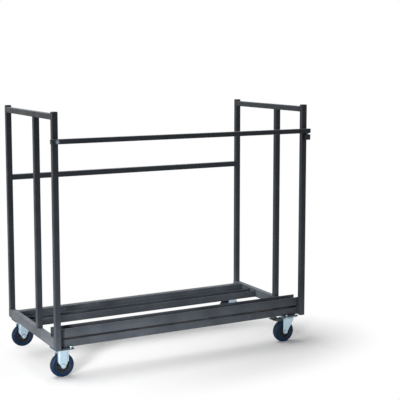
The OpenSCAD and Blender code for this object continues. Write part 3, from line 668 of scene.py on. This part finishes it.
for row in ROWS:
    left = f"left_{row}_"
    low, high = box_of(left + "fork")
    tyre_low, tyre_high = box_of(left + "tyre")
    axle_z = (tyre_low[2] + tyre_high[2]) / 2
    centre, half = plan_of(low, high)
    plate_z = high[2] - PLATE_T
    plate = pressed_plate(*half, PLATE_T) + centre + [0, 0, plate_z]
    legs = [fixed_leg(centre, side, plate_z, axle_z) for side in (-1, 1)]
    add_piece(left + "fork_pressing", [(plate, False, True)] + legs, zinc_up, "frame",
              [left + "fork"])
    right = f"right_{row}_"
    low, high = box_of(right + "castor_plate")
    centre, half = plan_of(low, high)
    plate = pressed_plate(*half, PLATE_T) + centre + [0, 0, low[2]]
    add_piece(right + "plate_pressing", [(plate, False, True)], zinc_up, "frame",
              [right + "castor_plate"])
    ring_low, ring_high = box_of(right + "ball_ring")
    ring_r = (ring_high[0] - ring_low[0]) / 2
    outline = race_outline(RACE_BORE_SHARE * ring_r, ring_r, ring_low[2], ring_high[2])
    race = turned(outline, centre, CORE_SEGMENTS, "z")
    add_piece(right + "race_rolled", [(race, True, True)], zinc_round, "frame",
              [right + "ball_ring"])
    _, fork_high = box_of(right + "fork")
    crown_low = fork_high[2] - CROWN_T
    pin, _ = half_box(right + "pedal_pin")
    trail = centre[0] - pin[0]
    fork = swivel_sheet(centre, trail, fork_high[0] - centre[0], axle_z, crown_low, fork_high[2])
    add_piece(right + "fork_pressing", [fork], zinc_up, right + "swivel", [right + "fork"])
    pedal_low, pedal_high = box_of(right + "brake_pedal")
    foot_start = math.hypot(*half) + FOOT_GAP - trail
    brake = lever(pin, pin[0] - pedal_low[0], crown_low - pin[2] - LEVER_GAP, foot_start,
                  pedal_high[2] - pin[2], pin[2] - axle_z, axle_z - tyre_low[2])
    add_piece(right + "brake_lever", [brake], pedal_green, right + "pedal",
              [right + "brake_pedal"], sharp_deg=40.0)

# Fasteners

THREAD_END = 1.5 * MM
AXLE_D, AXLE_HEAD_H, AXLE_NUT_H, AXLE_THREAD = 12 * MM, 7.8 * MM, 9.6 * MM, 12 * MM
BOLT_D, BOLT_HEAD_H, BOLT_NUT_H, BOLT_THREAD = 8 * MM, 5.2 * MM, 6.4 * MM, 4 * MM
PITCH_LONG, PITCH_SHORT = 80 * MM, 60 * MM
PIVOT_D, PIVOT_HEAD_H, PIVOT_NUT_H, PIVOT_THREAD = 10 * MM, 6.5 * MM, 8 * MM, 14 * MM
# Points round a fastener, and rows of points in each pitch of a thread
HEX_STEPS, THREAD_ROWS = 72, 8
# Shares of a thread's diameter: half the width over the flats, pitch, depth, end, countersink and its depth
FLATS_SHARE, PITCH_SHARE, THREAD_SHARE = 0.8, 0.15, 0.09
END_SHARE, SINK_SHARE, SINK_DEEP_SHARE = 0.4, 0.56, 0.06
# The cone that cuts a hexagon's corners: its start as a share of the half width, and its slope
CONE_SHARE, CONE_SLOPE = 0.95, math.tan(math.radians(60))
# Rows of a cut face, as shares of its height
CUT_ROWS = np.array([0.0, 0.04, 0.09, 0.16])


def hex_reach(apothem):
    """Distance from the middle of a hexagon to its edge at each of HEX_STEPS angles."""
    a = np.linspace(0, 2 * np.pi, HEX_STEPS, endpoint=False)
    return a, apothem / np.cos((a + np.pi / 6) % (np.pi / 3) - np.pi / 6)


def stacked_rings(radii, heights, angles):
    """Rows of points from a radius for each row and angle and a height for each row, about the Z axis."""
    return np.stack([radii * np.cos(angles), radii * np.sin(angles),
                     np.broadcast_to(heights[:, None], radii.shape)], -1)


def bolt_rings(d, head_h, shank_l, thread_l):
    """Hexagon bolt along +Z with its seat at zero.

    The head is a hexagon cut by a 30 degree cone, radius min(hex, c a + depth tan 60) with c the cone's
    share. The thread is the shank's radius less a cosine wave that climbs one pitch a turn.
    """
    apothem = FLATS_SHARE * d
    a, reach = hex_reach(apothem)
    depth = head_h * np.append(CUT_ROWS, [0.3, 1.0])
    head = np.minimum(reach[None, :], CONE_SHARE * apothem + depth[:, None] * CONE_SLOPE)
    pitch = PITCH_SHARE * d
    turns = np.linspace(shank_l - thread_l, shank_l - pitch / 2, int(THREAD_ROWS * thread_l / pitch))
    wave = (1 - np.cos(2 * np.pi * turns[:, None] / pitch - a[None, :])) / 2
    thread = d / 2 - THREAD_SHARE * d * wave
    plain = np.ones((2, HEX_STEPS)) * d / 2
    tip = np.ones((2, HEX_STEPS)) * np.array([[END_SHARE * d], [0.0]])
    radii = np.concatenate([np.zeros((1, HEX_STEPS)), head, plain, thread, tip])
    heights = np.concatenate([[-head_h], depth - head_h, [0.0, shank_l - thread_l], turns,
                              [shank_l, shank_l]])
    return stacked_rings(radii, heights, a)


def nut_rings(d, h):
    """Hexagon nut standing on z = 0: both faces cut by a 30 degree cone, with a countersunk bore."""
    apothem = FLATS_SHARE * d
    a, reach = hex_reach(apothem)
    depth = h * CUT_ROWS
    cone = np.minimum(reach[None, :], CONE_SHARE * apothem + depth[:, None] * CONE_SLOPE)
    bore = np.array([[SINK_SHARE], [0.5], [0.5], [SINK_SHARE]]) * d * np.ones(HEX_STEPS)
    sink = SINK_DEEP_SHARE * d
    radii = np.concatenate([cone, cone[::-1], bore])
    heights = np.concatenate([depth, (h - depth)[::-1], [h, h - sink, sink, 0.0]])
    return stacked_rings(radii, heights, a)


def along_y(points):
    """Points that stand on +Z laid along +Y."""
    return np.stack([points[..., 0], points[..., 2], -points[..., 1]], -1)


def axle_set(name, body, bolt_node, nut_node, sleeves):
    """Axle bolts and nuts through some sleeves, seated on the fork's outer faces."""
    bolts, nuts = [], []
    for sleeve in sleeves:
        middle, (_, half_sleeve, _) = half_box(sleeve)
        half = half_sleeve + FORK_SHEET
        shank = 2 * half + AXLE_NUT_H + THREAD_END
        bolt = along_y(bolt_rings(AXLE_D, AXLE_HEAD_H, shank, AXLE_THREAD)) + middle - [0, half, 0]
        nut = along_y(nut_rings(AXLE_D, AXLE_NUT_H)) + middle + [0, half, 0]
        bolts.append((bolt, False, True))
        nuts.append((nut, True, True))
    add_piece(name + "axle_bolt_turned", bolts, zinc_round, body, [bolt_node])
    add_piece(name + "axle_nut_turned", nuts, zinc_round, body, [nut_node])


axle_set("fixed_", "frame", "fixed_axle_bolts", "fixed_axle_nuts",
         [f"left_{row}_axle_sleeve" for row in ROWS])
for row in ROWS:
    axle_set(f"right_{row}_", f"right_{row}_swivel", f"right_{row}_axle_bolt", f"right_{row}_axle_nut",
             [f"right_{row}_axle_sleeve"])

plates_low, plates_high = box_of("castor_mount_plates")
grip = PLATE_T + plates_high[2] - plates_low[2]
castor_bolts, castor_nuts = [], []
for row in ROWS:
    for plate_node, pitch in ((f"left_{row}_fork", (PITCH_LONG, PITCH_SHORT)),
                              (f"right_{row}_castor_plate", (PITCH_SHORT, PITCH_LONG))):
        low, high = box_of(plate_node)
        middle = plan_of(low, high)[0] + [0, 0, high[2] - PLATE_T]
        for sx in (-1, 1):
            for sy in (-1, 1):
                seat = middle + [sx * pitch[0] / 2, sy * pitch[1] / 2, 0]
                nutted = sx > 0 or plate_node.startswith("right")
                shank = grip + BOLT_NUT_H + THREAD_END if nutted else grip
                bolt = bolt_rings(BOLT_D, BOLT_HEAD_H, shank, BOLT_THREAD) + seat
                castor_bolts.append((bolt, False, True))
                if nutted:
                    castor_nuts.append((nut_rings(BOLT_D, BOLT_NUT_H) + seat + [0, 0, grip], True, True))
add_piece("castor_bolts_turned", castor_bolts, zinc_round, "frame", ["castor_bolts"])
add_piece("castor_nuts_turned", castor_nuts, zinc_round, "frame", ["castor_nuts"])

low, high = box_of("pivot_bolt")
seat = np.array([(low[0] + high[0]) / 2, low[1] + PIVOT_HEAD_H, (low[2] + high[2]) / 2])
shank = high[1] - seat[1]
bolt = along_y(bolt_rings(PIVOT_D, PIVOT_HEAD_H, shank, PIVOT_THREAD)) + seat
add_piece("pivot_bolt_turned", [(bolt, False, True)], zinc_dull, "frame", ["pivot_bolt"])
nut_seat = np.array([seat[0], box_of("pivot_nut")[0][1], seat[2]])
nut = along_y(nut_rings(PIVOT_D, PIVOT_NUT_H)) + nut_seat
add_piece("pivot_nut_turned", [(nut, True, True)], zinc_dull, "frame", ["pivot_nut"])

# Plastic inserts

POST_HALF, END_HALF, BAR_HALF = 15 * MM, 25 * MM, 12.5 * MM
CAP_T, PLUG_T, BAR_CAP_T, CAP_POWER, CAP_STEPS = 4 * MM, 3 * MM, 3 * MM, 9.0, 64
# Share of a cap's outline and of its height, from the middle of its top to the middle of its seat
CAP_RISE = np.array([[0.0, 1.0], [0.4, 1.0], [0.72, 0.98], [0.88, 0.9], [0.95, 0.76], [0.985, 0.55],
                     [1.0, 0.3], [1.0, 0.0], [0.0, 0.0]])


def cap_grid(half_u, half_v, thick):
    """Cap standing on z = 0, a flat-topped pillow: superellipse rings that shrink as they rise."""
    ring = super_ring(half_u, half_v, CAP_POWER, CAP_STEPS)
    flat = CAP_RISE[:, :1, None] * ring[None]
    rise = np.broadcast_to(CAP_RISE[:, 1:, None] * thick, flat.shape[:2] + (1,))
    return np.concatenate([flat, rise], -1)


def turned_to(points, out):
    """Points that stand on +Z, stood on another axis: out is one of 'down', 'back', 'left', 'right'."""
    x, y, z = points[..., 0], points[..., 1], points[..., 2]
    ways = {"down": (x, -y, -z), "back": (x, z, y), "left": (-z, x, y), "right": (z, x, y)}
    return np.stack(ways[out], -1)


low, high = box_of("post_caps")
cap = cap_grid(POST_HALF, POST_HALF, CAP_T)
post_x, post_y = [(low[i] + POST_HALF, high[i] - POST_HALF) for i in (0, 1)]
caps = [(cap + [x, y, high[2] - CAP_T], False, True) for x in post_x for y in post_y]
add_piece("post_caps_moulded", caps, black_cap, "frame", ["post_caps"])
end_low, end_high = box_of("left_end_tube")
foot_low, foot_high = box_of("right_front_post")
plug = turned_to(cap_grid(POST_HALF, END_HALF, PLUG_T), "back")
foot = turned_to(cap_grid(POST_HALF, POST_HALF, PLUG_T), "down")
plugs = [(plug + [x, end_high[1], (end_low[2] + end_high[2]) / 2], False, True) for x in post_x]
plugs.append((foot + plan_of(foot_low, foot_high)[0] + [0, 0, foot_low[2]], False, True))
add_piece("tube_plugs_moulded", plugs, black_cap, "frame", ["tube_plugs"])
bar_low, bar_high = box_of("locking_bar")
bar_mid = (bar_low + bar_high) / 2
bar_cap = cap_grid(BAR_HALF, BAR_HALF, BAR_CAP_T)
bar_caps = [(turned_to(bar_cap, way) + [x, bar_mid[1], bar_mid[2]], False, True)
            for way, x in (("left", bar_low[0]), ("right", bar_high[0]))]
add_piece("bar_caps_moulded", bar_caps, black_cap, "bar", ["bar_end_caps"])

# Weld beads

BEAD_R, BEAD_STEP, BEAD_INSET = 1.7 * MM, 0.55 * MM, 1.2 * MM
RIPPLE, RIPPLE_SHARE = 2.2 * MM, 0.14
CHANNEL_IN, CHANNEL_UP, PIN_BEAD_OUT = 3 * MM, 1 * MM, 0.6 * MM
# Points round a bead, fewest points along it, and points of the line round the drop pin
BEAD_RING, BEAD_LEAST, PIN_STEPS = 8, 8, 40


def bead(corners, normal, closed):
    """Weld bead: a round section carried along a line, its radius rippling as a cosine along the way.

    The section at each point is spanned by the seam's normal and by the normal crossed with the way.
    An open bead tapers to nothing at its ends.
    """
    corners = np.array(corners, float)
    ends = np.roll(corners, -1, 0) if closed else corners[1:]
    starts = corners if closed else corners[:-1]
    lengths = np.linalg.norm(ends - starts, axis=1)
    runs = np.concatenate([[0.0], np.cumsum(lengths)])
    count = max(int(runs[-1] / BEAD_STEP), BEAD_LEAST)
    s = np.linspace(0, runs[-1], count, endpoint=not closed)
    k = np.clip(np.searchsorted(runs, s, side="right") - 1, 0, len(lengths) - 1)
    share = ((s - runs[k]) / lengths[k])[:, None]
    path = starts[k] * (1 - share) + ends[k] * share
    way = np.roll(path, -1, 0) - np.roll(path, 1, 0)
    if not closed:
        way[0], way[-1] = path[1] - path[0], path[-1] - path[-2]
    way /= np.linalg.norm(way, axis=1)[:, None]
    normal = np.array(normal, float)
    side = np.cross(normal, way)
    radius = BEAD_R * (1 + RIPPLE_SHARE * np.cos(2 * np.pi * s / RIPPLE))
    if not closed:
        edge = np.minimum(s, runs[-1] - s)
        radius = radius * np.sqrt(np.clip(edge / (2 * BEAD_R), 0.0, 1.0))
    a = np.linspace(0, 2 * np.pi, BEAD_RING, endpoint=False)
    section = np.cos(a)[None, :, None] * normal + np.sin(a)[None, :, None] * side[:, None, :]
    return path[:, None, :] + radius[:, None, None] * section, closed, True


def frame_round(node, axis, at):
    """Bead round a tube's outline, drawn in a little, in the plane across one axis at a place."""
    low, high = box_of(node)
    u, v = [i for i in range(3) if i != axis]
    lo, hi = low + BEAD_INSET, high - BEAD_INSET
    corners = np.empty((4, 3))
    corners[:, axis] = at
    corners[:, u] = [lo[u], hi[u], hi[u], lo[u]]
    corners[:, v] = [lo[v], lo[v], hi[v], hi[v]]
    normal = np.zeros(3)
    normal[axis] = 1.0
    return bead(corners, normal, True)


beads = []
for side in SIDES:
    rail_low, rail_high = box_of(side + "_top_rail")
    beads += [frame_round(side + "_top_rail", 1, y) for y in (rail_low[1], rail_high[1])]
    post_low, post_high = box_of(side + "_middle_post")
    beads += [frame_round(side + "_middle_post", 2, z) for z in (post_low[2], post_high[2])]
    beads.append(frame_round(side + "_rear_post", 2, box_of(side + "_rear_post")[0][2]))
    beads.append(frame_round(side + "_end_tube", 1, box_of(side + "_end_tube")[0][1]))
for node in ("front_base_rail", "rear_base_rail", "back_rail"):
    rail_low, rail_high = box_of(node)
    beads += [frame_round(node, 0, x) for x in (rail_low[0], rail_high[0])]
low, high = box_of("rear_channel")
bottom = low[2] + CHANNEL_UP
for x in (low[0], high[0]):
    seam = [[x, low[1], high[2]], [x, low[1], bottom], [x, high[1], bottom], [x, high[1], high[2]]]
    beads.append(bead(seam, [1, 0, 0], False))
low, high = box_of("front_channel")
for x in (low[0], high[0]):
    seam = [[x, low[1] + CHANNEL_IN, low[2]], [x, high[1] - CHANNEL_IN, low[2]]]
    beads.append(bead(seam, [0, 0, 1], False))
low, high = box_of("bar_socket")
beads.append(bead([[low[0], high[1], low[2]], [low[0], high[1], high[2]]], [0, 1, 0], False))
add_piece("frame_weld_beads", beads, coat_up, "frame", sharp_deg=70.0)

low, high = box_of("bar_drop_pin")
turn = np.linspace(0, 2 * np.pi, PIN_STEPS, endpoint=False)
ring_r = (high[0] - low[0]) / 2 + PIN_BEAD_OUT
ring = np.stack([ring_r * np.cos(turn), ring_r * np.sin(turn), np.full(turn.shape, bar_low[2])], -1)
ring = ring + plan_of(low, high)[0]
add_piece("pin_weld_bead", [bead(ring, [0, 0, 1], True)], coat_long, "bar", sharp_deg=70.0)

# Floor, light and camera

# Size of the floor, and its grey, which round the object is a painted shadow
FLOOR_HALF, FLOOR_SHADOW_GREY = 40.0, 0.8
# Strength of the surroundings as light on the object; seen directly they are white
SURROUND = 0.22
floor_mesh = bpy.data.meshes.new("floor")
corners = [(x * FLOOR_HALF, y * FLOOR_HALF, 0) for x, y in ((-1, -1), (1, -1), (1, 1), (-1, 1))]
floor_mesh.from_pydata(corners, [], [(0, 1, 2, 3)])
floor = bpy.data.objects.new("floor", floor_mesh)
bpy.context.scene.collection.objects.link(floor)


def seen_rays(tree):
    """1 on rays from the camera, from a mirror-like surface or through a clear one, else 0."""
    path = tree.nodes.new("ShaderNodeLightPath")
    total = path.outputs["Is Camera Ray"]
    for name in ("Is Glossy Ray", "Is Transmission Ray"):
        node = tree.nodes.new("ShaderNodeMath")
        node.operation = "MAXIMUM"
        tree.links.new(total, node.inputs[0])
        tree.links.new(path.outputs[name], node.inputs[1])
        total = node.outputs["Value"]
    return total


# A painted shadow: the floor is grey round the object and turns white further out, between two stretched
# rings
PAINTED_SHADOW_SCALE, PAINTED_SHADOW_SHIFT, PAINTED_SHADOW_RINGS = (1.0, 1.8, 1.0), (0.0, 0.4, 0.0), (0.7, 1.35)
floor_shade = Shade("floor_white")
tree = floor_shade.tree
tree.nodes.remove(floor_shade.shader)
matt = tree.nodes.new("ShaderNodeBsdfDiffuse")
matt.inputs["Color"].default_value = (FLOOR_SHADOW_GREY, FLOOR_SHADOW_GREY, FLOOR_SHADOW_GREY, 1)
white = tree.nodes.new("ShaderNodeEmission")
away = tree.nodes.new("ShaderNodeVectorMath")
away.operation = "LENGTH"
floor_shade.link(floor_shade.stretched(PAINTED_SHADOW_SCALE, PAINTED_SHADOW_SHIFT), away, 0)
fade = floor_shade.span(away.outputs["Value"], *PAINTED_SHADOW_RINGS)
mixed = tree.nodes.new("ShaderNodeMixShader")
whiteness = floor_shade.maths("MULTIPLY", fade, seen_rays(tree))
for socket, source in enumerate((whiteness, matt.outputs["BSDF"], white.outputs["Emission"])):
    floor_shade.link(source, mixed, socket)
floor_shade.link(mixed.outputs["Shader"], tree.nodes["Material Output"], "Surface")
floor_mesh.materials.append(floor_shade.material)

world = bpy.data.worlds.new("studio")
bpy.context.scene.world = world
world.use_nodes = True
sky = world.node_tree.nodes["Background"]
sky.inputs["Color"].default_value = (1, 1, 1, 1)
strength = world.node_tree.nodes.new("ShaderNodeMapRange")
strength.inputs["To Min"].default_value = SURROUND
world.node_tree.links.new(seen_rays(world.node_tree), strength.inputs["Value"])
world.node_tree.links.new(strength.outputs["Result"], sky.inputs["Strength"])


def place_lamp(data, place, aim):
    """Lamp at a place, turned to face a point."""
    lamp = bpy.data.objects.new(data.name, data)
    lamp.location = place
    way = np.array(aim, float) - np.array(place, float)
    tilt, heading = math.acos(-way[2] / np.linalg.norm(way)), math.atan2(way[0], -way[1])
    lamp.rotation_euler = (tilt, 0, heading + math.pi)
    bpy.context.scene.collection.objects.link(lamp)


soft_box = bpy.data.lights.new("overhead", "AREA")
soft_box.energy = 195.0
soft_box.size = 4.2
place_lamp(soft_box, (-1.0, 1.1, 4.0), (0, 0, 0.4))
low_light = bpy.data.lights.new("low_left", "SPOT")
low_light.energy = 2000.0
low_light.spot_size = math.radians(24)
low_light.spot_blend = 1.0
low_light.shadow_soft_size = 0.6
place_lamp(low_light, (-3.8, -3.75, 1.0), (-0.45, -0.35, 0.05))

camera_data = bpy.data.cameras.new("camera")
camera_data.sensor_width = 36.0
camera_data.lens = 91.066
camera_data.shift_y = -0.08
camera_data.dof.use_dof = False
camera = bpy.data.objects.new("camera", camera_data)
camera.location = (-2.4946, -5.1118, 1.6602)
CAMERA_DOWN, CAMERA_TURN = 6.496, -28.43
camera.rotation_euler = (math.radians(90 - CAMERA_DOWN), 0, math.radians(CAMERA_TURN))
bpy.context.scene.collection.objects.link(camera)
bpy.context.scene.camera = camera
bpy.context.scene.view_settings.view_transform = "Standard"
